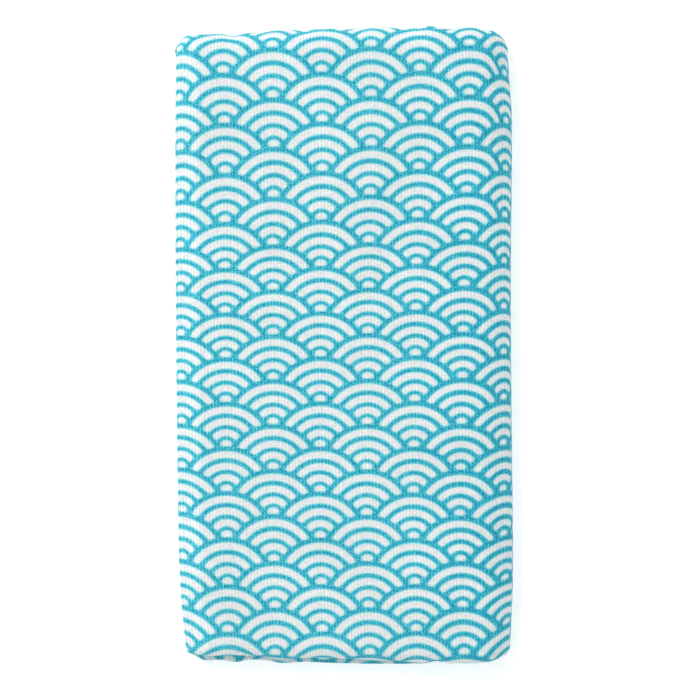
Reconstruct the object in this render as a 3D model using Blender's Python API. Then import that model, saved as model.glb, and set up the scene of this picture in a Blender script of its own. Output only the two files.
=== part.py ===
"""A tenugui towel, folded in thirds across its width and then in quarters along its length.

The towel is one sheet of gauze with a looped pile on its reverse. It lies flat on its centre panel.
The last fold is at +Y, and the two hemmed ends lie under the second fold, at -Y. The units are metres,
+Z is up, and the origin is under the middle of the folded towel.
"""

import math
from collections import namedtuple

import bmesh
import bpy

# The cloth before folding
CLOTH_WIDTH = 0.340
CLOTH_LENGTH = 0.880
THICKNESS = 0.0010
HEM_DEPTH = 0.007
HEM_RISE = 0.00012  # the hem's extra thickness, all of it on the pile

# The folds
LAYER_GAP = 0.00035
INNER_FLAP_SHORT = 0.0012  # how much narrower than a third the flap inside is
OUTER_FLAP_SHORT = 0.0021
FREE_END_SHOWS = 0.0012  # how far the upper hemmed end shows past the fold above it
LOWER_END_HIDES = 0.0006  # how much shorter than that the lowest end is

LAYER_PITCH = THICKNESS + LAYER_GAP
STRIP_PITCH = 3 * LAYER_PITCH  # a strip is three layers
STRIP_HEIGHT = 2 * LAYER_PITCH + THICKNESS
FULL_HEIGHT = 3 * STRIP_PITCH + STRIP_HEIGHT

# The side bends of a strip, and the three bends along the cloth, to the middle of what bends
LEFT_BEND = LAYER_PITCH / 2
RIGHT_BEND = LAYER_PITCH
SMALL_BEND = STRIP_PITCH / 2
LAST_BEND = 3 * STRIP_PITCH / 2

THIRD = (CLOTH_WIDTH - math.pi * (LEFT_BEND + RIGHT_BEND)) / 3
INNER_FLAP = THIRD - INNER_FLAP_SHORT
OUTER_FLAP = THIRD - OUTER_FLAP_SHORT
CENTRE_PANEL = THIRD + INNER_FLAP_SHORT + OUTER_FLAP_SHORT
HALF_WIDTH = (CENTRE_PANEL + STRIP_HEIGHT) / 2

END_REACH = SMALL_BEND + STRIP_HEIGHT / 2 + FREE_END_SHOWS
BENT_LENGTH = math.pi * (LAST_BEND + 2 * SMALL_BEND)
STRIP_RUN = (CLOTH_LENGTH - BENT_LENGTH - 2 * END_REACH + LOWER_END_HIDES) / 4
LAST_FOLD_Y = (STRIP_RUN + END_REACH - LAST_BEND - STRIP_HEIGHT / 2) / 2
HALF_LENGTH = LAST_FOLD_Y + LAST_BEND + STRIP_HEIGHT / 2

# How the folded cloth lies, uneven where it was handled: how far each edge is from straight
EdgeRow = namedtuple("EdgeRow", "x last_fold second_fold free_end")
EDGES = (
    EdgeRow(x=-0.0585, last_fold=-0.0018, second_fold=0.0012, free_end=0.0030),
    EdgeRow(x=-0.0500, last_fold=-0.0018, second_fold=0.0011, free_end=0.0014),
    EdgeRow(x=-0.0410, last_fold=-0.0016, second_fold=0.0012, free_end=-0.0002),
    EdgeRow(x=-0.0350, last_fold=-0.0013, second_fold=0.0011, free_end=0.0007),
    EdgeRow(x=-0.0150, last_fold=-0.0006, second_fold=0.0003, free_end=-0.0001),
    EdgeRow(x=0.0020, last_fold=0.0001, second_fold=0.0000, free_end=-0.0007),
    EdgeRow(x=0.0150, last_fold=0.0006, second_fold=-0.0007, free_end=-0.0008),
    EdgeRow(x=0.0300, last_fold=0.0004, second_fold=-0.0014, free_end=-0.0008),
    EdgeRow(x=0.0450, last_fold=0.0010, second_fold=-0.0016, free_end=-0.0004),
    EdgeRow(x=0.0585, last_fold=0.0006, second_fold=-0.0014, free_end=0.0003),
)
SideRow = namedtuple("SideRow", "y left right")
SIDES = (
    SideRow(y=-0.108, left=0.0031, right=-0.0004),
    SideRow(y=-0.092, left=0.0017, right=0.0003),
    SideRow(y=-0.074, left=0.0008, right=0.0006),
    SideRow(y=-0.035, left=0.0002, right=0.0002),
    SideRow(y=0.020, left=-0.0003, right=-0.0002),
    SideRow(y=0.080, left=-0.0004, right=0.0002),
    SideRow(y=0.108, left=-0.0002, right=-0.0012),
)
StripRow = namedtuple("StripRow", "z shift")
STRIPS = (
    StripRow(z=0.0, shift=0.0004),
    StripRow(z=STRIP_PITCH, shift=-0.0005),
    StripRow(z=2 * STRIP_PITCH, shift=0.0005),
    StripRow(z=FULL_HEIGHT, shift=0.0),
)
CornerRow = namedtuple("CornerRow", "side end reach drop sink")
CORNERS = (
    CornerRow(side=-1, end=1, reach=0.0050, drop=0.0040, sink=0.06),
    CornerRow(side=1, end=1, reach=0.0095, drop=0.0062, sink=0.10),
    CornerRow(side=-1, end=-1, reach=0.0050, drop=0.0032, sink=0.05),
    CornerRow(side=1, end=-1, reach=0.0120, drop=0.0036, sink=0.06),
)
EDGE_EASE = 0.040  # how far in from an edge its unevenness dies out

# The left side holds two layers where the middle holds three, so it lies thinner
LEFT_SETTLE_FROM = 0.0095
LEFT_SETTLE_TO = 0.0015
HOLLOW_SETTLE = 0.0013
SIDE_SLUMP = 0.09
SLUMP_REACH = 0.013
TOP_SWELL = 0.035

# How many steps each stretch is drawn with
SIDE_MARGIN = 0.011  # the finer stretch at either side of a panel
SIDE_MARGIN_STEPS = 3
END_MARGIN = 0.024  # the finer stretch at either end of a strip
END_MARGIN_STEPS = 2
PANEL_STEPS = 7
FLAP_STEPS = 5
LEFT_BEND_STEPS = 5
RIGHT_BEND_STEPS = 6
STRIP_STEPS = 3
SMALL_BEND_STEPS = 6
LAST_BEND_STEPS = 9

TURQUOISE = (0.050, 0.440, 0.570, 1.0)
PILE_WHITE = (0.800, 0.830, 0.840, 1.0)
CLOTH_ROUGHNESS = 0.9

Run = namedtuple("Run", "length steps")
Bend = namedtuple("Bend", "radius turn steps")
Point = namedtuple("Point", "a b normal_a normal_b walked")


def folded_line(start, heading, legs):
    """Points along straight runs and half-turn bends in a plane, each with the normal on its left."""
    a, b = start
    walked = 0.0
    points = [Point(a, b, -math.sin(heading), math.cos(heading), walked)]
    for leg in legs:
        is_run = isinstance(leg, Run)
        length = leg.length if is_run else math.pi * leg.radius
        for _ in range(leg.steps):
            if is_run:
                chord = length / leg.steps
            else:
                turned = leg.turn * math.pi / leg.steps
                chord = 2 * leg.radius * math.sin(abs(turned) / 2)
                heading += turned / 2
            a += chord * math.cos(heading)
            b += chord * math.sin(heading)
            if not is_run:
                heading += turned / 2
            walked += length / leg.steps
            points.append(Point(a, b, -math.sin(heading), math.cos(heading), walked))
    return points


def run_with_margins(length, steps, margin, margin_steps):
    """A straight run with a finer stretch at either end."""
    end = Run(margin, margin_steps)
    return [end, Run(length - 2 * margin, steps), end]


def across_the_cloth():
    """The fold in thirds, from the inner flap's free edge to the outer flap's, in X and height."""
    legs = [
        *run_with_margins(INNER_FLAP, FLAP_STEPS, SIDE_MARGIN, 1),
        Bend(LEFT_BEND, 1, LEFT_BEND_STEPS),
        *run_with_margins(CENTRE_PANEL, PANEL_STEPS, SIDE_MARGIN, SIDE_MARGIN_STEPS),
        Bend(RIGHT_BEND, 1, RIGHT_BEND_STEPS),
        *run_with_margins(OUTER_FLAP, FLAP_STEPS, SIDE_MARGIN, 1),
    ]
    middle = (LEFT_BEND - RIGHT_BEND) / 2
    free_edge = middle - CENTRE_PANEL / 2 + INNER_FLAP
    return folded_line((free_edge, 0.0), math.pi, legs)


def along_the_cloth():
    """The fold in quarters, from the lowest hemmed end to the upper one, in Y and Z."""
    lowest_run = STRIP_RUN + END_REACH - LOWER_END_HIDES
    hem = Run(HEM_DEPTH, 1)
    inner_strip = run_with_margins(STRIP_RUN, STRIP_STEPS, END_MARGIN, END_MARGIN_STEPS)
    legs = [
        hem,
        *run_with_margins(lowest_run - HEM_DEPTH, STRIP_STEPS, END_MARGIN, END_MARGIN_STEPS),
        Bend(LAST_BEND, 1, LAST_BEND_STEPS),
        *inner_strip,
        Bend(SMALL_BEND, 1, SMALL_BEND_STEPS),
        *inner_strip,
        Bend(SMALL_BEND, -1, SMALL_BEND_STEPS),
        *run_with_margins(STRIP_RUN + END_REACH - HEM_DEPTH, STRIP_STEPS, END_MARGIN, END_MARGIN_STEPS),
        hem,
    ]
    return folded_line((LAST_FOLD_Y - lowest_run, STRIP_HEIGHT / 2), 0.0, legs)


def eased(start, end, value):
    """0 up to start, 1 from end on, and a smooth change between them. The end may be the smaller one."""
    share = min(1.0, max(0.0, (value - start) / (end - start)))
    return share * share * (3 - 2 * share)


def read_table(rows, column, at):
    """A column of a table at any place, on a smooth curve through its rows; the place is column 0."""
    last = len(rows) - 1
    at = min(rows[last][0], max(rows[0][0], at))
    index = next(i for i in range(last) if at <= rows[i + 1][0])
    values = [getattr(rows[min(last, max(0, i))], column) for i in range(index - 1, index + 3)]
    share = (at - rows[index][0]) / (rows[index + 1][0] - rows[index][0])
    rise = values[2] - values[1]
    leave = (values[2] - values[0]) / 2
    arrive = (values[3] - values[1]) / 2
    curve = (leave + arrive - 2 * rise) * share + 3 * rise - 2 * leave - arrive
    return values[1] + share * (leave + share * curve)


def corner_share(corner, x, y):
    """How strongly a corner pulls at this place: 1 at its tip, falling to 0 at its reach."""
    to_side = max(0.0, HALF_WIDTH - corner.side * x)
    across = max(0.0, 1 - to_side / corner.reach)
    return across * across * eased(HALF_LENGTH - EDGE_EASE, HALF_LENGTH, corner.end * y)


def hollows_below(z):
    """How many of the left side's two hollows, each two layers high, lie below this height."""
    clear = LAYER_PITCH * 2
    first = STRIP_HEIGHT / 2 + THICKNESS / 2
    second = first + 2 * STRIP_PITCH
    return sum(min(1.0, max(0.0, (z - low) / clear)) for low in (first, second))


def settled(x, y, z):
    """Moves a point of the evenly folded cloth to where the handled cloth lies.

    Heights only scale, or close up where a side is hollow, so no layers cross and the underside stays flat.
    """
    across = x / HALF_WIDTH
    left_share = (1 - across) / 2
    side = left_share * read_table(SIDES, "left", y) + (1 - left_share) * read_table(SIDES, "right", y)
    shift = read_table(STRIPS, "shift", z)

    toward_last = eased(HALF_LENGTH - EDGE_EASE, HALF_LENGTH, y)
    toward_second = eased(HALF_LENGTH - EDGE_EASE, HALF_LENGTH, -y)
    is_upper = eased(STRIP_PITCH + STRIP_HEIGHT, 2 * STRIP_PITCH, z)
    lower_edge = (1 - is_upper) * read_table(EDGES, "free_end", x)
    second_edge = is_upper * read_table(EDGES, "second_fold", x) + lower_edge
    end = toward_last * read_table(EDGES, "last_fold", x) + toward_second * second_edge

    sink = 0.0
    for corner in CORNERS:
        share = corner_share(corner, x, y)
        end -= corner.end * corner.drop * share
        sink += corner.sink * share

    to_left = HALF_WIDTH + x
    to_right = HALF_WIDTH - x
    closing = eased(LEFT_SETTLE_FROM, LEFT_SETTLE_TO, to_left)
    slump = max(0.0, 1 - min(to_left, to_right) / SLUMP_REACH)
    swell = TOP_SWELL * (1 - across**2) * (1 - (y / HALF_LENGTH) ** 4)
    scale = 1 + swell - SIDE_SLUMP * slump * slump - sink
    return x + side + shift, y + end, (z - closing * HOLLOW_SETTLE * hollows_below(z)) * scale


def hem_rise(walked):
    """How far the pile stands out at this distance along the cloth, where its two hems are turned over."""
    to_end = min(walked, CLOTH_LENGTH - walked)
    return HEM_RISE * eased(HEM_DEPTH, HEM_DEPTH / 2, to_end)


def cloth_rings():
    """A ring of points round the folded cloth's section at each place along it: the print, then the pile."""
    profile = across_the_cloth()
    rings = []
    for place in along_the_cloth():
        pile = THICKNESS / 2 + hem_rise(place.walked)
        print_face = [(point, THICKNESS / 2) for point in profile]
        pile_face = [(point, -pile) for point in reversed(profile)]
        ring = []
        for point, toward_print in print_face + pile_face:
            x = point.a - toward_print * point.normal_a
            height = point.b - toward_print * point.normal_b
            y = place.a + height * place.normal_a
            z = place.b + height * place.normal_b
            ring.append(settled(x, y, z))
        rings.append(ring)
    return rings


def centred(rings):
    """The rings moved so that the middle of their box is over the origin."""
    middles = []
    for axis in (0, 1):
        values = [point[axis] for ring in rings for point in ring]
        middles.append((min(values) + max(values)) / 2)
    return [[(x - middles[0], y - middles[1], z) for x, y, z in ring] for ring in rings]


def fabric(name, color):
    """A matt cloth material in one colour."""
    material = bpy.data.materials.new(name)
    material.use_nodes = True
    shader = material.node_tree.nodes["Principled BSDF"]
    shader.inputs["Base Color"].default_value = color
    shader.inputs["Roughness"].default_value = CLOTH_ROUGHNESS
    shader.inputs["Metallic"].default_value = 0.0
    material.diffuse_color = color
    return material


def build_towel():
    """The folded towel as one closed sheet, printed on one face and white pile on the other."""
    rings = centred(cloth_rings())
    count = len(rings[0])
    mesh = bmesh.new()
    grid = [[mesh.verts.new(point) for point in ring] for ring in rings]
    for near, far in zip(grid, grid[1:]):
        for i in range(count):
            j = (i + 1) % count
            face = mesh.faces.new((near[i], near[j], far[j], far[i]))
            face.material_index = int(i >= count // 2 - 1)
    for ring in (grid[0], grid[-1]):
        for i in range(count // 2 - 1):
            end = mesh.faces.new((ring[i], ring[i + 1], ring[count - 2 - i], ring[count - 1 - i]))
            end.material_index = 1
    bmesh.ops.recalc_face_normals(mesh, faces=mesh.faces)
    for face in mesh.faces:
        face.smooth = True

    data = bpy.data.meshes.new("towel")
    mesh.to_mesh(data)
    mesh.free()
    data.materials.append(fabric("printed_gauze", TURQUOISE))
    data.materials.append(fabric("looped_pile", PILE_WHITE))
    data.set_sharp_from_angle(angle=math.radians(50))
    towel = bpy.data.objects.new("towel", data)
    bpy.context.scene.collection.objects.link(towel)


def main():
    for old in list(bpy.data.objects):
        bpy.data.objects.remove(old)
    build_towel()


main()
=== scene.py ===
"""The looks of a folded tenugui towel: printed gauze, looped pile, hems and studio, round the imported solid.

The cloth lies in the folds of its solid: in thirds across its width, then in quarters along its length.
Lengths are in metres, +Z is up, and +Y runs to the last fold.
"""

import logging
import math
from dataclasses import dataclass
from enum import Enum
from typing import NamedTuple, Sequence

import bpy
import numpy as np
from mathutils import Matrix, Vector


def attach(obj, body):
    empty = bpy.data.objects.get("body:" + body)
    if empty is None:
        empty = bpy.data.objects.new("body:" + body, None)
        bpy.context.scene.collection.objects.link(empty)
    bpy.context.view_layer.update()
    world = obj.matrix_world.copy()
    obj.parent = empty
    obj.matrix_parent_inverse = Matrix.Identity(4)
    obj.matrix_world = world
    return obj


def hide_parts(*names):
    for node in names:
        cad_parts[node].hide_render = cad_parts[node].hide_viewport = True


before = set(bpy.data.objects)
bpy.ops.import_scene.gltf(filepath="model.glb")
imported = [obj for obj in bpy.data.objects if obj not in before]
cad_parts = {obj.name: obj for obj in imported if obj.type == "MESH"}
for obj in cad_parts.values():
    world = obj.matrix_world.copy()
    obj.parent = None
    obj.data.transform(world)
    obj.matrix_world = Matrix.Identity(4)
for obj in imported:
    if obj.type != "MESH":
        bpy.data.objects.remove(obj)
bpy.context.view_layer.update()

LOG = logging.getLogger("towel")

Array = np.ndarray
Color = tuple[float, float, float, float]
Corner = tuple[float, float]
Sockets = bpy.types.NodeSocket

BODY = "root"
NODE = "towel"
PRINT_MAP = "PrintPlace"
CLOTH_MAP = "ClothPlace"
BAKE_MAP = "OFBake"
# How near to a run's heading, in radians, still counts as on it
STRAIGHT = 1e-6


class Face(Enum):
    """The two faces of the cloth, by the index of their material on the mesh."""

    PRINT = 0
    PILE = 1


class Run(NamedTuple):
    """A straight stretch of a folded line."""

    length: float
    steps: int


class Bend(NamedTuple):
    """A half turn of a folded line, to the left for a turn of 1 and to the right for -1."""

    radius: float
    turn: int
    steps: int


class EdgeRow(NamedTuple):
    """How far each end's edge lies from straight, at one place across the towel."""

    x: float
    last_fold: float
    second_fold: float
    free_end: float


class SideRow(NamedTuple):
    """How far each side lies from straight, at one place along the towel."""

    y: float
    left: float
    right: float


class StripRow(NamedTuple):
    """How far the strip at one height lies to the right."""

    z: float
    shift: float


class CornerRow(NamedTuple):
    """How a corner is drawn in and pressed down."""

    side: int
    end: int
    reach: float
    drop: float
    sink: float


class Pucker(NamedTuple):
    """A small swelling of one end's edge, or a small hollow where its rise is negative."""

    x: float
    end: int
    reach: float
    rise: float


class Ripple(NamedTuple):
    """A slight wave in the upper face, with its turns across and along in radians a metre."""

    across: float
    along: float
    phase: float
    share: float


class PrintRow(NamedTuple):
    """Where the print's rows of fans lie on the uppermost panel, stretched as the cloth is."""

    y: float
    row: float
    radius: float
    middle: float
    tilt: float


class Shoulder(NamedTuple):
    """How the print runs down one rounded side, where less of it shows from above."""

    side: int
    reach: float
    hidden: float
    drawn_in: float
    at_free_end: float


def eased(start: float, end: float, value: Array | float) -> Array:
    """Gives a smooth change from 0 to 1.

    Args:
        start: Where the change begins.
        end: Where it ends, which may be the smaller value.
        value: The places to read.

    Returns:
        0 up to start, 1 from end on.
    """
    share = np.clip((value - start) / (end - start), 0.0, 1.0)
    return share * share * (3 - 2 * share)


def read_table(rows: Sequence[tuple], column: str, at: Array) -> Array:
    """Reads a column of a table on a smooth curve through its rows.

    Args:
        rows: The table, whose first column is the place.
        column: The name of the column to read.
        at: The places to read it at, held to the table's ends.

    Returns:
        The column's values there.
    """
    places = np.array([row[0] for row in rows])
    column_values = np.array([getattr(row, column) for row in rows])
    at = np.clip(at, places[0], places[-1])
    index = np.clip(np.searchsorted(places, at, side="left") - 1, 0, len(rows) - 2)
    before = column_values[np.maximum(index - 1, 0)]
    near, far = column_values[index], column_values[index + 1]
    after = column_values[np.minimum(index + 2, len(rows) - 1)]
    share = (at - places[index]) / (places[index + 1] - places[index])
    rise, leave, arrive = far - near, (far - before) / 2, (after - near) / 2
    curve = (leave + arrive - 2 * rise) * share + 3 * rise - 2 * leave - arrive
    return near + share * (leave + share * curve)


@dataclass(frozen=True)
class FoldedLine:
    """Points along straight runs and half-turn bends in a plane."""

    a: Array
    b: Array
    heading: Array
    walked: Array

    @classmethod
    def along(cls, start: tuple[float, float], heading: float, legs: Sequence[Run | Bend]) -> "FoldedLine":
        """Walks the legs from a start.

        Args:
            start: The first point.
            heading: The first direction, in radians.
            legs: The runs and bends, in order.

        Returns:
            The line, with each point's direction and its distance along the line.
        """
        a, b = start
        walked = 0.0
        rows = [(a, b, heading, walked)]
        for leg in legs:
            turned = leg.turn * math.pi / leg.steps if isinstance(leg, Bend) else 0.0
            length = math.pi * leg.radius / leg.steps if isinstance(leg, Bend) else leg.length / leg.steps
            chord = length * math.sin(abs(turned) / 2) / (abs(turned) / 2) if turned else length
            for _ in range(leg.steps):
                heading += turned / 2
                a += chord * math.cos(heading)
                b += chord * math.sin(heading)
                heading += turned / 2
                walked += length
                rows.append((a, b, heading, walked))
        return cls(*np.array(rows).T)

    def normals(self) -> tuple[Array, Array]:
        """The unit normals on the line's left."""
        return -np.sin(self.heading), np.cos(self.heading)


def run_with_margins(length: float, steps: int, margin: float, margin_steps: int) -> list[Run]:
    """Splits a straight run so that its two ends are drawn finer.

    Args:
        length: The whole run.
        steps: The steps of its middle.
        margin: The length of each finer end.
        margin_steps: The steps of each finer end.

    Returns:
        The three runs.
    """
    end = Run(margin, margin_steps)
    return [end, Run(length - 2 * margin, steps), end]


@dataclass(frozen=True)
class FoldPlan:
    """The sizes of the cloth and of its folds, as in the solid, and how the folded cloth lies."""

    cloth_width: float = 0.340
    cloth_length: float = 0.880
    thickness: float = 0.0010
    layer_gap: float = 0.00035
    inner_flap_short: float = 0.0012
    outer_flap_short: float = 0.0021
    free_end_shows: float = 0.0012
    lower_end_hides: float = 0.0006

    hem_depth: float = 0.007
    hem_edge: float = 0.0003
    hem_rise: float = 0.00012
    hem_seam: float = 0.0057
    seam_dip: float = 0.00010
    seam_width: float = 0.0004
    edge_round: float = 0.0006
    edge_least: float = 0.00012
    selvedge_depth: float = 0.003
    selvedge_full: float = 0.0012
    selvedge_thin: float = 0.00018

    edges: tuple[EdgeRow, ...] = (
        EdgeRow(x=-0.0585, last_fold=-0.0018, second_fold=0.0012, free_end=0.0030),
        EdgeRow(x=-0.0530, last_fold=-0.0018, second_fold=0.0012, free_end=0.0008),
        EdgeRow(x=-0.0500, last_fold=-0.0018, second_fold=0.0011, free_end=0.0003),
        EdgeRow(x=-0.0465, last_fold=-0.0017, second_fold=0.0011, free_end=0.0007),
        EdgeRow(x=-0.0410, last_fold=-0.0016, second_fold=0.0012, free_end=-0.0002),
        EdgeRow(x=-0.0350, last_fold=-0.0013, second_fold=0.0011, free_end=0.0007),
        EdgeRow(x=-0.0150, last_fold=-0.0006, second_fold=0.0003, free_end=-0.0001),
        EdgeRow(x=0.0020, last_fold=0.0001, second_fold=0.0000, free_end=-0.0007),
        EdgeRow(x=0.0150, last_fold=0.0006, second_fold=-0.0007, free_end=-0.0008),
        EdgeRow(x=0.0300, last_fold=0.0004, second_fold=-0.0014, free_end=-0.0008),
        EdgeRow(x=0.0450, last_fold=0.0010, second_fold=-0.0016, free_end=-0.0004),
        EdgeRow(x=0.0585, last_fold=0.0006, second_fold=-0.0014, free_end=0.0003),
    )
    sides: tuple[SideRow, ...] = (
        SideRow(y=-0.108, left=0.0031, right=-0.0004),
        SideRow(y=-0.092, left=0.0017, right=0.0003),
        SideRow(y=-0.074, left=0.0008, right=0.0006),
        SideRow(y=-0.035, left=0.0002, right=0.0002),
        SideRow(y=0.020, left=-0.0003, right=-0.0002),
        SideRow(y=0.080, left=-0.0004, right=0.0002),
        SideRow(y=0.108, left=-0.0002, right=-0.0012),
    )
    corners: tuple[CornerRow, ...] = (
        CornerRow(side=-1, end=1, reach=0.0050, drop=0.0040, sink=0.06),
        CornerRow(side=1, end=1, reach=0.0095, drop=0.0062, sink=0.10),
        CornerRow(side=-1, end=-1, reach=0.0045, drop=0.0012, sink=0.05),
        CornerRow(side=1, end=-1, reach=0.0120, drop=0.0036, sink=0.06),
    )
    puckers: tuple[Pucker, ...] = (
        Pucker(x=-0.0386, end=1, reach=0.0040, rise=-0.0009),
        Pucker(x=-0.0217, end=1, reach=0.0085, rise=0.0009),
        Pucker(x=-0.0069, end=1, reach=0.0065, rise=0.0006),
        Pucker(x=0.0110, end=1, reach=0.0055, rise=0.0005),
        Pucker(x=0.0220, end=1, reach=0.0050, rise=-0.0003),
        Pucker(x=0.0310, end=1, reach=0.0040, rise=0.0008),
        Pucker(x=0.0384, end=1, reach=0.0030, rise=-0.0010),
        Pucker(x=0.0505, end=1, reach=0.0040, rise=-0.0011),
        Pucker(x=-0.0235, end=-1, reach=0.0080, rise=0.0009),
        Pucker(x=0.0322, end=-1, reach=0.0050, rise=-0.0010),
    )
    pucker_depth: float = 0.012
    strip_shifts: tuple[float, ...] = (0.0004, -0.0005, 0.0005, 0.0)
    edge_ease: float = 0.040
    left_settle_from: float = 0.0095
    left_settle_to: float = 0.0015
    hollow_settle: float = 0.0013
    slumps: tuple[float, float] = (0.30, 0.38)
    slump_reaches: tuple[float, float] = (0.0100, 0.0115)
    top_swell: float = 0.028
    top_wave: float = 0.006
    ripples: tuple[Ripple, ...] = (
        Ripple(across=71.0, along=38.0, phase=1.0, share=1.0),
        Ripple(across=-29.0, along=47.0, phase=0.0, share=1.0),
        Ripple(across=90.0, along=118.0, phase=2.0, share=0.6),
    )

    @property
    def layer_pitch(self) -> float:
        """From one layer's middle to the next one's."""
        return self.thickness + self.layer_gap

    @property
    def strip_pitch(self) -> float:
        """From one strip of three layers to the next."""
        return 3 * self.layer_pitch

    @property
    def strip_height(self) -> float:
        """The height of a strip of three layers."""
        return 2 * self.layer_pitch + self.thickness

    @property
    def full_height(self) -> float:
        """The height of the four strips."""
        return 3 * self.strip_pitch + self.strip_height

    @property
    def bends(self) -> tuple[float, float, float, float]:
        """The radii of the left, right, small and last bends, to the middle of what bends."""
        return self.layer_pitch / 2, self.layer_pitch, self.strip_pitch / 2, 3 * self.strip_pitch / 2

    @property
    def panels(self) -> tuple[float, float, float]:
        """The widths of the three panels.

        Returns:
            The inner flap's, the centre panel's and the outer flap's.
        """
        left, right, _, _ = self.bends
        third = (self.cloth_width - math.pi * (left + right)) / 3
        inner, outer = third - self.inner_flap_short, third - self.outer_flap_short
        return inner, third + self.inner_flap_short + self.outer_flap_short, outer

    @property
    def half_width(self) -> float:
        """Half of the folded towel's width."""
        return (self.panels[1] + self.strip_height) / 2

    @property
    def end_reach(self) -> float:
        """How far a free end runs on past the second fold's centre."""
        return self.bends[2] + self.strip_height / 2 + self.free_end_shows

    @property
    def strip_run(self) -> float:
        """The straight length of a strip between two folds."""
        bent = math.pi * (self.bends[3] + 2 * self.bends[2])
        return (self.cloth_length - bent - 2 * self.end_reach + self.lower_end_hides) / 4

    @property
    def half_length(self) -> float:
        """Half of the folded towel's length."""
        return (self.strip_run + self.end_reach + self.bends[3] + self.strip_height / 2) / 2

    @property
    def last_fold_y(self) -> float:
        """Where the last fold's centre lies."""
        return self.half_length - self.bends[3] - self.strip_height / 2

    def corner_share(self, corner: CornerRow, x: Array, y: Array) -> Array:
        """How strongly a corner pulls at these places.

        Args:
            corner: The corner.
            x: Places across the evenly folded cloth.
            y: Places along it.

        Returns:
            From 1 at the corner's tip to 0 at its reach.
        """
        to_side = np.maximum(0.0, self.half_width - corner.side * x)
        across = np.maximum(0.0, 1 - to_side / corner.reach)
        return across * across * eased(self.half_length - self.edge_ease, self.half_length, corner.end * y)

    def corner_pull(self, x: Array, y: Array) -> tuple[Array, Array]:
        """How all the corners pull.

        Args:
            x: Places across the evenly folded cloth.
            y: Places along it.

        Returns:
            How far they draw the places in along the towel, and by what share they press them down.
        """
        drawn, pressed = np.zeros_like(x), np.zeros_like(x)
        for corner in self.corners:
            share = self.corner_share(corner, x, y)
            drawn = drawn - corner.end * corner.drop * share
            pressed = pressed + corner.sink * share
        return drawn, pressed

    def hollows_below(self, z: Array) -> Array:
        """Counts the left side's two hollows, each two layers high.

        Args:
            z: Heights in the evenly folded cloth.

        Returns:
            How many of the hollows lie below them.
        """
        clear = self.layer_pitch * 2
        first = self.strip_height / 2 + self.thickness / 2
        lows = (first, first + 2 * self.strip_pitch)
        return sum(np.clip((z - low) / clear, 0.0, 1.0) for low in lows)

    def drift(self, x: Array, y: Array, z: Array) -> tuple[Array, Array]:
        """How far the sides and ends lie from straight, without the corners.

        Args:
            x: Places across the evenly folded cloth.
            y: Places along it.
            z: Heights in it.

        Returns:
            The shift in X and the shift in Y.
        """
        left_share = (1 - x / self.half_width) / 2
        side = left_share * read_table(self.sides, "left", y)
        side = side + (1 - left_share) * read_table(self.sides, "right", y)
        levels = [n * self.strip_pitch for n in range(3)] + [self.full_height]
        strips = [StripRow(level, shift) for level, shift in zip(levels, self.strip_shifts)]
        toward_last = eased(self.half_length - self.edge_ease, self.half_length, y)
        toward_second = eased(self.half_length - self.edge_ease, self.half_length, -y)
        is_upper = eased(self.strip_pitch + self.strip_height, 2 * self.strip_pitch, z)
        second_edge = is_upper * read_table(self.edges, "second_fold", x)
        second_edge = second_edge + (1 - is_upper) * read_table(self.edges, "free_end", x)
        end = toward_last * read_table(self.edges, "last_fold", x) + toward_second * second_edge
        for pucker in self.puckers:
            swollen = np.clip(1 - ((x - pucker.x) / pucker.reach) ** 2, 0.0, 1.0) ** 2
            near = eased(self.half_length - self.pucker_depth, self.half_length, pucker.end * y)
            end = end + pucker.end * pucker.rise * swollen * near
        return side + read_table(strips, "shift", z), end

    def settled(self, x: Array, y: Array, z: Array) -> tuple[Array, Array, Array]:
        """Moves points of the evenly folded cloth to where the handled cloth lies.

        Args:
            x: Places across the evenly folded cloth.
            y: Places along it.
            z: Heights in it.

        Returns:
            The places of the handled cloth, whose layers don't cross and whose underside is flat.
        """
        side, end = self.drift(x, y, z)
        drawn, sink = self.corner_pull(x, y)
        to_left, to_right = self.half_width + x, self.half_width - x
        closing = eased(self.left_settle_from, self.left_settle_to, to_left)
        slump = 0.0
        for depth, reach, inward in zip(self.slumps, self.slump_reaches, (to_left, to_right)):
            slump = slump + depth * np.maximum(0.0, 1 - np.maximum(0.0, inward) / reach) ** 2
        across, along = x / self.half_width, y / self.half_length
        swell = self.top_swell * (1 - across**2) * (1 - along**4)
        wave = 0.0
        for ripple in self.ripples:
            wave = wave + ripple.share * np.sin(ripple.across * x + ripple.along * y + ripple.phase)
        swell = swell + self.top_wave * wave * (1 - across**2) * (1 - along**8)
        scale = 1 + swell - slump - sink
        return x + side, y + end + drawn, (z - closing * self.hollow_settle * self.hollows_below(z)) * scale


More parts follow.
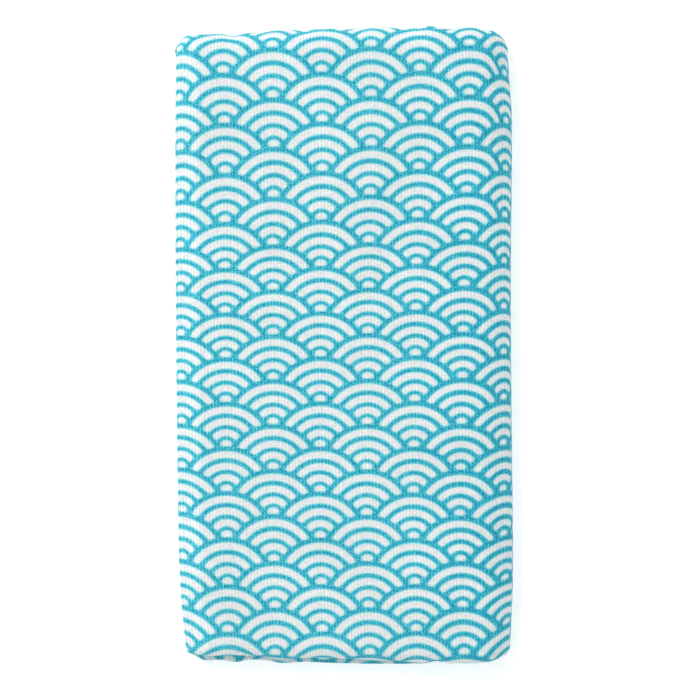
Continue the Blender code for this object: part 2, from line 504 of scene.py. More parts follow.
@dataclass(frozen=True)
class PrintPlan:
    """Where the print lies on the cloth: rows of overlapping fans, measured on the uppermost panel."""

    rows: tuple[PrintRow, ...] = (
        PrintRow(y=-0.1081, row=26.0, radius=0.01661, middle=0.0091, tilt=0.007),
        PrintRow(y=-0.0913, row=24.0, radius=0.01644, middle=0.0088, tilt=0.002),
        PrintRow(y=-0.0751, row=22.0, radius=0.01638, middle=0.0083, tilt=-0.001),
        PrintRow(y=-0.0588, row=20.0, radius=0.01635, middle=0.0080, tilt=-0.010),
        PrintRow(y=0.0365, row=8.0, radius=0.01686, middle=0.0088, tilt=0.024),
        PrintRow(y=0.0533, row=6.0, radius=0.01694, middle=0.0092, tilt=0.023),
        PrintRow(y=0.0706, row=4.0, radius=0.01705, middle=0.0096, tilt=0.014),
        PrintRow(y=0.0879, row=2.0, radius=0.01723, middle=0.0095, tilt=0.013),
        PrintRow(y=0.1055, row=0.0, radius=0.01731, middle=0.0095, tilt=0.008),
    )
    shoulders: tuple[Shoulder, ...] = (
        Shoulder(side=-1, reach=0.0080, hidden=0.0022, drawn_in=0.010, at_free_end=0.40),
        Shoulder(side=1, reach=0.0095, hidden=0.0070, drawn_in=0.030, at_free_end=0.20),
    )
    tilt_reach: float = 0.06
    row_pitch: float = 0.0085
    dot_rise: float = 0.052

    def read(self, column: str, y: Array) -> Array:
        """Reads a column of the rows, on straight lines between them and held past the ends."""
        return np.interp(y, [row.y for row in self.rows], [getattr(row, column) for row in self.rows])

    def run_over(self, x: Array, y: Array, half_width: float, half_length: float) -> tuple[Array, Array]:
        """How much further the print has run where it goes down the rounded sides.

        Args:
            x: Places across the uppermost panel, running on past its sides.
            y: Places along it.
            half_width: Half of the folded towel's width.
            half_length: Half of its length.

        Returns:
            The extra run in X and in Y.
        """
        extra_x, extra_y = np.zeros_like(x), np.zeros_like(y)
        along = np.clip((y / half_length + 1) / 2, 0.0, 1.0)
        for shoulder in self.shoulders:
            inward = np.maximum(0.0, half_width - shoulder.side * x)
            share = np.maximum(0.0, 1 - inward / shoulder.reach) ** 2
            amount = shoulder.at_free_end + (1 - shoulder.at_free_end) * along
            extra_x = extra_x + shoulder.side * shoulder.hidden * share * amount
            extra_y = extra_y + shoulder.drawn_in * share * np.clip(y, -half_length, half_length)
        return extra_x, extra_y

    def place(self, x: Array, y: Array) -> tuple[Array, Array]:
        """Finds places in the print.

        Args:
            x: Places across the uppermost panel, running on past its sides.
            y: Places along it, running on past its ends.

        Returns:
            The places in fan radii, with a fan's centre wherever a column and a row meet.
        """
        level = y - self.read("tilt", y) * np.clip(x, -self.tilt_reach, self.tilt_reach)
        held = np.clip(level, self.rows[0].y, self.rows[-1].y)
        row = self.read("row", held) + (held - level) / self.row_pitch
        column = (x - self.read("middle", y)) / self.read("radius", y)
        return column, self.dot_rise - row / 2


class Sketch:
    """Adds nodes to one node tree, so that a formula reads as one."""

    def __init__(self, tree: bpy.types.NodeTree) -> None:
        """Starts on a tree."""
        self.tree = tree

    def feed(self, socket: Sockets, value: object) -> None:
        """Links a socket to another, or sets its value.

        Args:
            socket: The input.
            value: A socket, or a plain value.
        """
        if isinstance(value, Sockets):
            self.tree.links.new(value, socket)
        else:
            socket.default_value = value

    def fill(self, made: bpy.types.Node, fed: dict) -> None:
        """Feeds a node's inputs, which are given by number or by name."""
        for socket, value in fed.items():
            self.feed(made.inputs[socket], value)

    def node(self, kind: str, fed: dict, **settings: object) -> bpy.types.Node:
        """Adds a node.

        Args:
            kind: Its type's name in Blender.
            fed: What goes into its inputs, by number or by name.
            **settings: Properties to set on it.

        Returns:
            The node.
        """
        made = self.tree.nodes.new(kind)
        for name, value in settings.items():
            setattr(made, name, value)
        self.fill(made, fed)
        return made

    def math(self, operation: str, *values: object) -> Sockets:
        """Adds a Math node for numbers or sockets, and gives its result."""
        return self.node("ShaderNodeMath", dict(enumerate(values)), operation=operation).outputs[0]

    def mix(self, share: object, low: object, high: object) -> Sockets:
        """Mixes two numbers."""
        return self.node("ShaderNodeMix", {0: share, 2: low, 3: high}, data_type="FLOAT").outputs[0]

    def blend(self, share: object, low: object, high: object, how: str = "MIX") -> Sockets:
        """Blends two colours, in one of Blender's ways."""
        fed = {0: share, 6: low, 7: high}
        return self.node("ShaderNodeMix", fed, data_type="RGBA", blend_type=how).outputs[2]

    def smooth(self, value: object, start: object, end: object) -> Sockets:
        """A smooth rise from 0 at start to 1 at end."""
        fed = {0: value, 1: start, 2: end}
        return self.node("ShaderNodeMapRange", fed, interpolation_type="SMOOTHSTEP").outputs[0]

    def place(self, map_name: str) -> Sockets:
        """Reads one of the cloth's UV maps."""
        return self.node("ShaderNodeUVMap", {}, uv_map=map_name).outputs[0]

    def split(self, vector: Sockets) -> Sequence[Sockets]:
        """The X, Y and Z of a place."""
        return self.node("ShaderNodeSeparateXYZ", {0: vector}).outputs

    def join(self, x: Sockets, y: Sockets) -> Sockets:
        """A place from its X and Y."""
        return self.node("ShaderNodeCombineXYZ", {0: x, 1: y}).outputs[0]

    def noise(self, vector: Sockets, scale: object, detail: float) -> bpy.types.Node:
        """Adds a smooth noise over a place."""
        fed = {"Vector": vector, "Scale": scale, "Detail": detail}
        return self.node("ShaderNodeTexNoise", fed, noise_dimensions="2D")

    def bump(self, height: Sockets, relief: float) -> Sockets:
        """The normals that a height gives, at its real relief."""
        fed = {"Strength": 1.0, "Distance": relief, "Height": height}
        return self.node("ShaderNodeBump", fed).outputs[0]

    def group(self, name: str, **inputs: object) -> bpy.types.Node:
        """Adds a shared effect by its name, with _ for a space in its inputs' names."""
        fed = {socket.replace("_", " "): value for socket, value in inputs.items()}
        return self.node("ShaderNodeGroup", fed, node_tree=bpy.data.node_groups[name])


class SharedEffect:
    """A shader node group with named sockets, built once."""

    name: str = ""
    takes: dict[str, tuple[str, object]] = {}
    gives: dict[str, str] = {}

    def build(self) -> None:
        """Builds the group with its sockets and draws what is inside."""
        tree = bpy.data.node_groups.new(self.name, "ShaderNodeTree")
        for label, (kind, value) in self.takes.items():
            socket = tree.interface.new_socket(name=label, in_out="INPUT", socket_type=f"NodeSocket{kind}")
            if value is not None:
                socket.default_value = value
        for label, kind in self.gives.items():
            tree.interface.new_socket(name=label, in_out="OUTPUT", socket_type=f"NodeSocket{kind}")
        sketch = Sketch(tree)
        given = sketch.node("NodeGroupInput", {}).outputs
        results = self.draw(sketch, {label: given[label] for label in self.takes})
        sketch.node("NodeGroupOutput", results)

    def draw(self, sketch: Sketch, taken: dict[str, Sockets]) -> dict[str, Sockets]:
        """Draws the effect.

        Args:
            sketch: Where its nodes go.
            taken: The group's inputs by name.

        Returns:
            What each named output gives.
        """
        raise NotImplementedError


class PlainWeave(SharedEffect):
    """Warp and weft threads that pass over and under each other, with uneven threads."""

    name = "PlainWeave"
    takes = {
        "Vector": ("Vector", None),
        "Warp Pitch": ("Float", 0.000585),
        "Weft Pitch": ("Float", 0.000815),
        "Wander": ("Float", 0.00012),
    }
    gives = dict.fromkeys(("Height", "Over", "Pair", "Gap", "Thread", "Speck"), "Float")
    # Turns in a metre of the threads' wandering, and of each kind of thread's thick and thin places
    wander_turns = 210.0
    slub_turns = (260.0, 200.0)
    wander_gain = 4.0
    roundness = 0.6
    crossing = 0.15
    gap_from = 0.75
    gap_to = 0.35
    thread_step = 7.31
    slub_low = 0.25
    slub_high = 0.75
    # Fibres across a thread and along it
    fibres = (1.7, 2.3)

    def draw(self, sketch: Sketch, taken: dict[str, Sockets]) -> dict[str, Sockets]:
        """Draws the threads from two rows of cosines, and gives each thread its own tone.

        Args:
            sketch: Where its nodes go.
            taken: The group's inputs by name.

        Returns:
            What each named output gives.
        """
        noise = sketch.noise(taken["Vector"], self.wander_turns, 2.0)
        shift = sketch.node("ShaderNodeSeparateColor", {0: noise.outputs["Color"]})
        at = sketch.split(taken["Vector"])
        counts = []
        for axis, pitch in ((0, "Warp Pitch"), (1, "Weft Pitch")):
            swing = sketch.math("SUBTRACT", shift.outputs[axis], 0.5)
            stray = sketch.math("MULTIPLY", swing, taken["Wander"])
            place = sketch.math("ADD", at[axis], sketch.math("MULTIPLY", stray, self.wander_gain))
            counts.append(sketch.math("DIVIDE", place, taken[pitch]))
        warp, weft = (sketch.math("COSINE", sketch.math("MULTIPLY", count, math.pi)) for count in counts)
        over = sketch.math("MULTIPLY_ADD", sketch.math("MULTIPLY", warp, weft), 0.5, 0.5)
        under = sketch.math("SUBTRACT", 1.0, over)
        warp_round = sketch.math("POWER", sketch.math("ABSOLUTE", warp), self.roundness)
        weft_round = sketch.math("POWER", sketch.math("ABSOLUTE", weft), self.roundness)
        warp_top = sketch.math("MULTIPLY", warp_round, over)
        weft_top = sketch.math("MULTIPLY", weft_round, under)
        height = sketch.math("SMOOTH_MAX", warp_top, weft_top, self.crossing)
        deep = sketch.math("MAXIMUM", warp_round, weft_round)
        # Gap marks the holes between the threads, where the gauze's colour gets painted shade
        gap = sketch.smooth(deep, self.gap_from, self.gap_to)

        slubs = [
            self.slub(sketch, sketch.math("ROUND", count), along, turns)
            for count, along, turns in zip(counts, (at[1], at[0]), self.slub_turns)
        ]
        cells = [
            sketch.math("ROUND", sketch.math("MULTIPLY", count, in_thread))
            for count, in_thread in zip(counts, self.fibres)
        ]
        fed = {"Vector": sketch.join(*cells)}
        speck = sketch.node("ShaderNodeTexWhiteNoise", fed, noise_dimensions="2D")
        return {
            "Height": height,
            "Over": over,
            "Pair": sketch.math("MULTIPLY_ADD", warp, 0.5, 0.5),
            "Gap": gap,
            "Thread": sketch.mix(over, slubs[1], slubs[0]),
            "Speck": speck.outputs["Value"],
        }

    def slub(self, sketch: Sketch, thread: Sockets, along: Sockets, turns: float) -> Sockets:
        """How thick each thread is along its own length.

        Args:
            sketch: Where the nodes go.
            thread: The thread's number.
            along: The place along it.
            turns: How often the thickness changes in a metre.

        Returns:
            A tone from 0 to 1.
        """
        apart = sketch.math("MULTIPLY", thread, self.thread_step)
        yarn = sketch.join(apart, sketch.math("MULTIPLY", along, turns))
        tone = sketch.noise(yarn, 1.0, 1.0)
        return sketch.smooth(tone.outputs[0], self.slub_low, self.slub_high)


class WaveFans(SharedEffect):
    """The traditional pattern of overlapping fans, each of four arcs round a dot."""

    name = "WaveFans"
    takes = {
        "Vector": ("Vector", None),
        "Rounding": ("Float", 0.12),
        "Rim": ("Float", 0.02),
        "Softness": ("Float", 0.035),
        "Stray": ("Float", 0.0),
    }
    gives = {"Ink": "Float"}
    # The borders between bare cloth and dye from a fan's centre to its rim, in fan radii
    borders = (0.142, 0.25, 0.377, 0.498, 0.628, 0.758, 0.89)
    reach = 0.13

    def arcs(self, sketch: Sketch, distance: Sockets) -> Sockets:
        """How far inside dye a place in a fan is.

        Args:
            sketch: Where the nodes go.
            distance: How far the place is from the fan's centre.

        Returns:
            The depth in fan radii, under 0 where the cloth is bare.
        """
        ramp = sketch.node("ShaderNodeValToRGB", {0: distance})
        ramp.color_ramp.interpolation = "LINEAR"
        marks = [(0.0, -self.borders[0])]
        ends = (*self.borders, 1.0)
        for number, (low, high) in enumerate(zip(self.borders, ends[1:])):
            depth = (high - low) / 2
            marks.append((low + depth, depth if number % 2 == 0 else -depth))
        marks[-1] = (1.0, 1.0 - self.borders[-1])
        points = ramp.color_ramp.elements
        for _ in range(len(marks) - len(points)):
            points.new(0.5)
        for point, (at, depth) in zip(points, marks):
            point.position = at
            shade = 0.5 + 0.5 * depth / self.reach
            point.color = (shade, shade, shade, 1.0)
        value = sketch.math("MULTIPLY_ADD", ramp.outputs[0], 2.0, -1.0)
        return sketch.math("MULTIPLY", value, self.reach)

    def draw(self, sketch: Sketch, taken: dict[str, Sockets]) -> dict[str, Sockets]:
        """Finds the lowest fan that covers a place, because each row lies over the one above.

        Args:
            sketch: Where its nodes go.
            taken: The group's inputs by name.

        Returns:
            What each named output gives.
        """
        x, y, _ = sketch.split(taken["Vector"])
        # The lowest row whose fans may reach here is between half a radius and one radius below
        level = sketch.math("MULTIPLY", y, 2.0)
        row = sketch.math("FLOOR", sketch.math("SUBTRACT", level, 1.0))
        fall = sketch.math("MULTIPLY", sketch.math("SUBTRACT", level, row), 0.5)
        across = sketch.math("PINGPONG", sketch.math("ADD", x, row), 1.0)
        other = sketch.math("SUBTRACT", 1.0, across)

        def distance(beside: Sockets, rise: float) -> Sockets:
            """Measures from a fan's centre.

            Args:
                beside: How far the centre lies beside the place.
                rise: How far it lies above the lowest row.

            Returns:
                The distance in fan radii.
            """
            above = sketch.math("ADD", fall, -rise)
            squares = sketch.math("MULTIPLY_ADD", above, above, sketch.math("MULTIPLY", beside, beside))
            return sketch.math("SQRT", squares)

        below, lowest = distance(other, -0.5), distance(across, 0.0)
        middle, upper = distance(other, 0.5), distance(across, 1.0)

        def clear_of(distance_to: Sockets) -> Sockets:
            """How far inside a fan's rim a place is, under 0 outside it."""
            return sketch.math("SUBTRACT", sketch.math("ADD", taken["Rim"], 1.0), distance_to)

        of_lowest = sketch.math("SMOOTH_MAX", self.arcs(sketch, lowest), clear_of(below), taken["Rounding"])
        of_middle = sketch.math("SMOOTH_MAX", self.arcs(sketch, middle), clear_of(lowest), taken["Rounding"])
        of_middle = sketch.math("SMOOTH_MAX", of_middle, clear_of(below), taken["Rounding"])
        of_upper = sketch.math("SMOOTH_MAX", self.arcs(sketch, upper), clear_of(middle), taken["Rounding"])
        in_middle = sketch.math("LESS_THAN", middle, 1.0)
        in_lowest = sketch.math("LESS_THAN", lowest, 1.0)
        depth = sketch.mix(in_lowest, sketch.mix(in_middle, of_upper, of_middle), of_lowest)
        strayed = sketch.math("ADD", depth, taken["Stray"])
        edge = sketch.math("MULTIPLY", taken["Softness"], -1.0)
        return {"Ink": sketch.smooth(strayed, edge, taken["Softness"])}


class SeamRow(SharedEffect):
    """A row of stitches along a hem, in the dip that they pull into the cloth."""

    name = "SeamRow"
    takes = {
        "Vector": ("Vector", None),
        "Lower End": ("Float", 0.0),
        "Upper End": ("Float", 1.0),
        "Depth": ("Float", 0.0057),
        "Stitch": ("Float", 0.0026),
        "Width": ("Float", 0.00036),
    }
    gives = {"Thread": "Float", "Dip": "Float", "Crease": "Float"}
    # From no thread to full thread, as shares of a stitch and across its edge
    taper = (0.04, 0.16)
    thread_edge = (-0.00004, 0.00006)
    dip_widths = 2.5
    crease_beyond = 0.0013
    crease_width = 0.0005

    def draw(self, sketch: Sketch, taken: dict[str, Sockets]) -> dict[str, Sockets]:
        """Draws stitches at a set depth from either end, with a hole between each two.

        Args:
            sketch: Where its nodes go.
            taken: The group's inputs by name.

        Returns:
            What each named output gives.
        """
        x, y, _ = sketch.split(taken["Vector"])
        to_lower = sketch.math("SUBTRACT", y, taken["Lower End"])
        to_upper = sketch.math("SUBTRACT", taken["Upper End"], y)
        to_end = sketch.math("MINIMUM", to_lower, to_upper)
        off = sketch.math("ABSOLUTE", sketch.math("SUBTRACT", to_end, taken["Depth"]))
        share = sketch.math("PINGPONG", sketch.math("DIVIDE", x, taken["Stitch"]), 0.5)
        taper = sketch.smooth(share, *self.taper)
        half = sketch.math("MULTIPLY", sketch.math("MULTIPLY", taken["Width"], 0.5), taper)
        thread = sketch.smooth(sketch.math("SUBTRACT", half, off), *self.thread_edge)
        thread = sketch.math("MULTIPLY", thread, taper)
        dip = sketch.smooth(off, sketch.math("MULTIPLY", taken["Width"], self.dip_widths), 0.0)
        # The crease line serves only to paint shade into the cloth's colour; the dip gives both a real bump
        # and painted shade
        crease_at = sketch.math("ADD", taken["Depth"], self.crease_beyond)
        to_crease = sketch.math("ABSOLUTE", sketch.math("SUBTRACT", to_end, crease_at))
        crease = sketch.smooth(to_crease, self.crease_width, 0.0)
        return {"Thread": thread, "Dip": dip, "Crease": crease}


class SoftTone(SharedEffect):
    """Broad, faint changes of tone, as in washed and handled cloth."""

    name = "SoftTone"
    takes = {"Vector": ("Vector", None), "Scale": ("Float", 40.0), "Amount": ("Float", 0.06)}
    gives = {"Tone": "Float"}
    detail = 3.0

    def draw(self, sketch: Sketch, taken: dict[str, Sockets]) -> dict[str, Sockets]:
        """Draws a soft noise about 1.

        Args:
            sketch: Where its nodes go.
            taken: The group's inputs by name.

        Returns:
            What each named output gives.
        """
        noise = sketch.noise(taken["Vector"], taken["Scale"], self.detail)
        swing = sketch.math("MULTIPLY", sketch.math("SUBTRACT", noise.outputs[0], 0.5), 2.0)
        return {"Tone": sketch.math("MULTIPLY_ADD", swing, taken["Amount"], 1.0)}


def new_material(name: str) -> tuple[bpy.types.Material, Sketch, bpy.types.Node]:
    """Makes a material with an empty Principled BSDF.

    Args:
        name: The material's name.

    Returns:
        The material, a sketch of its tree, and the shader.
    """
    material = bpy.data.materials.new(name)
    material.use_nodes = True
    shader = material.node_tree.nodes["Principled BSDF"]
    return material, Sketch(material.node_tree), shader


@dataclass(frozen=True)
class PrintedGauze:
    """The face of the cloth: white gauze with the turquoise print, paler where threads lie high and darker
    between them as painted highlight and painted shade, beside the threads' own uneven tone.
    """

    dye: Color = (0.030, 0.518, 0.678, 1.0)
    # Powers on the dye's colour, from the lowest thread tone to the highest: darker between threads as
    # painted shade, paler on thread tops as painted highlight, and darker where the print is deeper
    dye_depth_and_shade: tuple[float, float] = (1.62, 0.48)
    deepens: tuple[float, float] = (0.0, 3.6)
    deeper: float = 0.18
    spread: float = -0.021
    spread_deeper: float = 0.008
    # The bare cloth: the first colour on thread tops, with painted highlight, and the second between threads,
    # with painted shade
    white: Color = (0.915, 0.950, 0.955, 1.0)
    white_shaded: Color = (0.640, 0.680, 0.690, 1.0)
    # Weights of the weave's outputs in the threads' painted light and shade and their own random tone
    light_and_tone_weights: tuple[tuple[str, float], ...] = (("Over", 0.36), ("Pair", 0.30), ("Speck", 0.80), ("Thread", 0.15))
    strays: tuple[tuple[str, float], ...] = (("Speck", 0.022), ("Over", 0.014))
    thread: Color = (0.800, 0.850, 0.860, 1.0)
    mottle_scale: float = 35.0
    mottle: float = 0.07
    gap_shade: float = -0.05
    seam_shade: float = -0.25
    dip_height: float = -1.5
    thread_height: float = 1.2
    roughness: float = 0.88
    sheen: float = 0.05
    sheen_roughness: float = 0.5
    relief: float = 0.00010
    ends: tuple[float, float] = (0.0, 1.0)

    def material(self) -> bpy.types.Material:
        """Builds the material.

        Returns:
            The material.
        """
        material, sketch, shader = new_material("printed_gauze")
        cloth = sketch.place(CLOTH_MAP)
        weave = sketch.group("PlainWeave", Vector=cloth)
        mottled = sketch.group("SoftTone", Vector=cloth, Scale=self.mottle_scale, Amount=self.mottle)
        place = sketch.place(PRINT_MAP)
        deeper = sketch.smooth(sketch.split(place)[0], *self.deepens)
        stray = sketch.math("MULTIPLY_ADD", deeper, self.spread_deeper, self.spread)
        for name, reach in self.strays:
            swing = sketch.math("SUBTRACT", weave.outputs[name], 0.5)
            stray = sketch.math("MULTIPLY_ADD", swing, reach, stray)
        fans = sketch.group("WaveFans", Vector=place, Stray=stray)
        ink = fans.outputs["Ink"]

        # Painted light on the threads, paler on their tops and darker between them, mixed with their own
        # random tone
        lit: Sockets | float = 0.5 - sum(weight for _, weight in self.light_and_tone_weights) / 2
        for name, weight in self.light_and_tone_weights:
            lit = sketch.math("MULTIPLY_ADD", weave.outputs[name], weight, lit)
        # The dye is drawn darker where the threads' painted light is low and where the print is deeper
        light_tone_and_depth = sketch.math("MULTIPLY_ADD", deeper, -self.deeper, lit)
        layers = sketch.math("MULTIPLY", sketch.mix(light_tone_and_depth, *self.dye_depth_and_shade), ink)
        dyed = sketch.node("ShaderNodeGamma", {"Color": self.dye, "Gamma": layers})
        color = sketch.blend(1.0, sketch.blend(lit, self.white_shaded, self.white), dyed.outputs[0], "MULTIPLY")
        seam = sketch.group("SeamRow", Vector=cloth, Lower_End=self.ends[0], Upper_End=self.ends[1])
        # Painted shade: darker in the seam's dip and along the hem's crease
        seam_shade_mask = sketch.math("MAXIMUM", seam.outputs["Dip"], seam.outputs["Crease"])
        # Painted shade in the gaps between threads, multiplied by the cloth's own soft mottle
        shade = sketch.math("MULTIPLY_ADD", weave.outputs["Gap"], self.gap_shade, 1.0)
        shade = sketch.math("MULTIPLY", shade, mottled.outputs["Tone"])
        shade = sketch.math("MULTIPLY", shade, sketch.math("MULTIPLY_ADD", seam_shade_mask, self.seam_shade, 1.0))
        color = sketch.blend(1.0, color, shade, "MULTIPLY")
        color = sketch.blend(seam.outputs["Thread"], color, self.thread)
        height = sketch.math("MULTIPLY_ADD", seam.outputs["Dip"], self.dip_height, weave.outputs["Height"])
        height = sketch.math("MULTIPLY_ADD", seam.outputs["Thread"], self.thread_height, height)
        sketch.fill(shader, {
            "Base Color": color,
            "Roughness": self.roughness,
            "Sheen Weight": self.sheen,
            "Sheen Roughness": self.sheen_roughness,
            "Normal": sketch.bump(height, self.relief),
        })
        return material


@dataclass(frozen=True)
class LoopedPile:
    """The reverse of the cloth: soft white loops with painted shade in the hollows between them, and a breath
    of the print's colour through them.
    """

    white: Color = (0.800, 0.825, 0.830, 1.0)
    # Painted shade in the hollows between the loops
    hollow: Color = (0.560, 0.600, 0.610, 1.0)
    through: Color = (0.480, 0.690, 0.740, 1.0)
    roughness: float = 0.95
    sheen: float = 0.2
    loop: float = 0.0009
    loop_hollow: float = 0.75
    loop_top: float = 0.1
    ghost: float = 0.16
    ghost_softness: float = 0.12
    relief: float = 0.00025

    def material(self) -> bpy.types.Material:
        """Builds the material.

        Returns:
            The material.
        """
        material, sketch, shader = new_material("looped_pile")
        cloth = sketch.place(CLOTH_MAP)
        fed = {"Vector": cloth, "Scale": 1 / self.loop}
        loops = sketch.node("ShaderNodeTexVoronoi", fed, voronoi_dimensions="2D", feature="SMOOTH_F1")
        # Loop tops: they set the painted shade in the hollows and the bump
        tops = sketch.smooth(loops.outputs["Distance"], self.loop_hollow, self.loop_top)
        fans = sketch.group("WaveFans", Vector=sketch.place(PRINT_MAP), Softness=self.ghost_softness)
        ghost = sketch.math("MULTIPLY", fans.outputs["Ink"], self.ghost)
        loops_shaded = sketch.blend(tops, self.hollow, self.white)
        sketch.fill(shader, {
            "Base Color": sketch.blend(ghost, loops_shaded, self.through),
            "Roughness": self.roughness,
            "Sheen Weight": self.sheen,
            "Normal": sketch.bump(tops, self.relief),
        })
        return material


@dataclass(frozen=True)
class FloorFinish:
    """A plain white studio floor, lit from below as well."""

    white: Color = (0.90, 0.90, 0.90, 1.0)
    light: Color = (1.0, 1.0, 1.0, 1.0)
    roughness: float = 0.9
    glow: float = 0.43

    def material(self) -> bpy.types.Material:
        """Builds the material.

        Returns:
            The material.
        """
        material, sketch, shader = new_material("studio_floor")
        sketch.fill(shader, {
            "Base Color": self.white,
            "Roughness": self.roughness,
            "Emission Color": self.light,
            "Emission Strength": self.glow,
        })
        return material


class Island(NamedTuple):
    """A part of one face's grid and its room on the baked picture."""

    face: Face
    rows: tuple[int, int]
    columns: tuple[int, int]
    low: Corner
    high: Corner
    turned: bool


@dataclass
class TowelCloth:
    """The whole cloth as one closed sheet in its folds, with its hems and selvedges."""

    plan: FoldPlan
    print_plan: PrintPlan
    side_margin: float = 0.011
    end_margin: float = 0.026
    edge_steps: int = 5
    selvedge_steps: int = 4
    flap_steps: int = 26
    panel_steps: tuple[int, int] = (42, 11)
    left_bend_steps: int = 11
    right_bend_steps: int = 13
    hem_steps: tuple[int, int] = (8, 2)
    strip_steps: tuple[tuple[int, int], ...] = ((24, 7), (62, 12), (12, 5), (12, 6))
    bend_steps: tuple[int, int, int] = (22, 13, 11)
    hem_slack: float = 1e-5
    # The uppermost panel's box on the baked picture, and beside it the column that the rest shares
    panel_box: tuple[Corner, Corner] = ((0.004, 0.004), (0.560, 0.996))
    rest_column: tuple[float, float] = (0.566, 0.996)
    rooms: tuple[tuple[float, float], ...] = (
        (0.004, 0.330), (0.336, 0.480), (0.486, 0.630), (0.636, 0.750), (0.756, 0.870), (0.876, 0.972),
    )
    rims_from: float = 0.9765
    rim_pitch: float = 0.0052
    rim_height: float = 0.004

    def across(self) -> FoldedLine:
        """Walks the fold in thirds.

        Returns:
            The line from the inner flap's free edge to the outer flap's.
        """
        inner, centre, outer = self.plan.panels
        left, right, _, _ = self.plan.bends
        depth, tip = self.plan.selvedge_depth, self.plan.edge_round
        edge = [Run(tip, self.edge_steps), Run(depth - tip, self.selvedge_steps)]
        steps, margin_steps = self.panel_steps
        legs = [
            *edge,
            Run(inner - depth, self.flap_steps),
            Bend(left, 1, self.left_bend_steps),
            *run_with_margins(centre, steps, self.side_margin, margin_steps),
            Bend(right, 1, self.right_bend_steps),
            Run(outer - depth, self.flap_steps),
            *reversed(edge),
        ]
        free_edge = (left - right) / 2 - centre / 2 + inner
        return FoldedLine.along((free_edge, 0.0), math.pi, legs)

    def along(self) -> FoldedLine:
        """Walks the fold in quarters.

        Returns:
            The line from the lowest hemmed end to the upper one.
        """
        plan = self.plan
        _, _, small, last = plan.bends
        lowest = plan.strip_run + plan.end_reach - plan.lower_end_hides
        upper = plan.strip_run + plan.end_reach
        tip, ramp = plan.edge_round, 2 * plan.hem_edge
        hemmed = plan.hem_depth + plan.hem_edge
        steps, ramp_steps = self.hem_steps
        hem = [Run(tip, self.edge_steps), Run(hemmed - tip - ramp, steps), Run(ramp, ramp_steps)]
        lengths = (lowest - hemmed, plan.strip_run, plan.strip_run, upper - hemmed)
        strips = [
            run_with_margins(length, coarse, self.end_margin, fine)
            for length, (coarse, fine) in zip(lengths, self.strip_steps)
        ]
        last_steps, second_steps, first_steps = self.bend_steps
        legs = [
            *hem,
            *strips[0],
            Bend(last, 1, last_steps),
            *strips[1],
            Bend(small, 1, second_steps),
            *strips[2],
            Bend(small, -1, first_steps),
            *strips[3],
            *reversed(hem),
        ]
        return FoldedLine.along((plan.last_fold_y - lowest, plan.strip_height / 2), 0.0, legs)

    def half_thickness(self, across: FoldedLine, along: FoldedLine, face: Face) -> Array:
        """How far one face lies from the cloth's middle.

        Args:
            across: The fold in thirds.
            along: The fold in quarters.
            face: The face, of which the pile has the turned-over hems.

        Returns:
            The distances over the cloth's grid: selvedges are thinner, and edges round.
        """
        plan = self.plan
        to_end = np.minimum(along.walked, along.walked[-1] - along.walked)[:, None]
        to_side = np.minimum(across.walked, across.walked[-1] - across.walked)[None, :]
        half = plan.thickness / 2
        if face is Face.PILE:
            turned_over = eased(plan.hem_depth + plan.hem_edge, plan.hem_depth - plan.hem_edge, to_end)
            half = half + plan.hem_rise * turned_over
            half = half - plan.seam_dip * np.exp(-(((to_end - plan.hem_seam) / plan.seam_width) ** 2))
        half = half - plan.selvedge_thin * eased(plan.selvedge_depth, plan.selvedge_full, to_side)
        share = np.clip(np.minimum(to_end, to_side) / plan.edge_round, 0.0, 1.0)
        rounded = np.sqrt(1 - (1 - share) ** 2)
        return plan.edge_least + (half - plan.edge_least) * rounded

    def sheet_points(self, across: FoldedLine, along: FoldedLine, toward_print: Array) -> tuple[Array, Array]:
        """Places one face of the cloth.

        Args:
            across: The fold in thirds.
            along: The fold in quarters.
            toward_print: How far each point of the grid lies from the cloth's middle, to its print.

        Returns:
            The points in their folds, and their places on the unfolded cloth, measured on this face.
        """
        plan = self.plan
        normal_a, normal_b = across.normals()
        x = across.a[None, :] - toward_print * normal_a[None, :]
        height = across.b[None, :] - toward_print * normal_b[None, :]
        normal_y, normal_z = along.normals()
        y = along.a[:, None] + height * normal_y[:, None]
        z = along.b[:, None] + height * normal_z[:, None]
        points = np.stack(plan.settled(x, y, z), -1)

        centre_heading = 2 * math.pi
        top_heading = math.pi
        on_centre = np.abs(across.heading - centre_heading) < STRAIGHT
        on_top = np.abs(along.heading - top_heading) < STRAIGHT
        middle_across = (across.walked[on_centre][0] + across.walked[on_centre][-1]) / 2
        middle_along = along.walked[on_top][0]
        flat_x = across.walked[None, :] - middle_across
        flat_x = flat_x + toward_print * (across.heading[None, :] - centre_heading)
        flat_x = flat_x + (plan.bends[0] - plan.bends[1]) / 2
        walked = along.walked[:, None] - middle_along
        flat_y = plan.last_fold_y - (walked - height * (along.heading[:, None] - top_heading))
        return points, np.stack(np.broadcast_arrays(flat_x, flat_y), -1)

    def print_places(self, flat: Array, middle: Array) -> Array:
        """Finds the unfolded cloth's places in the print.

        Args:
            flat: The places, measured from the middle of the uppermost panel.
            middle: The middle of the folded cloth's box.

        Returns:
            The places in fan radii.
        """
        plan = self.plan
        x = np.clip(flat[..., 0], -plan.half_width, plan.half_width)
        y = np.clip(flat[..., 1], -plan.half_length, plan.half_length)
        side, end = plan.drift(x, y, np.full_like(x, plan.full_height))
        drawn, _ = plan.corner_pull(x, y)
        flat_x, flat_y = flat[..., 0], flat[..., 1]
        over_x, over_y = self.print_plan.run_over(flat_x, flat_y, plan.half_width, plan.half_length)
        lies_x = flat_x + over_x + side - middle[0]
        lies_y = flat_y + over_y + end + drawn - middle[1]
        return np.stack(self.print_plan.place(lies_x, lies_y), -1)

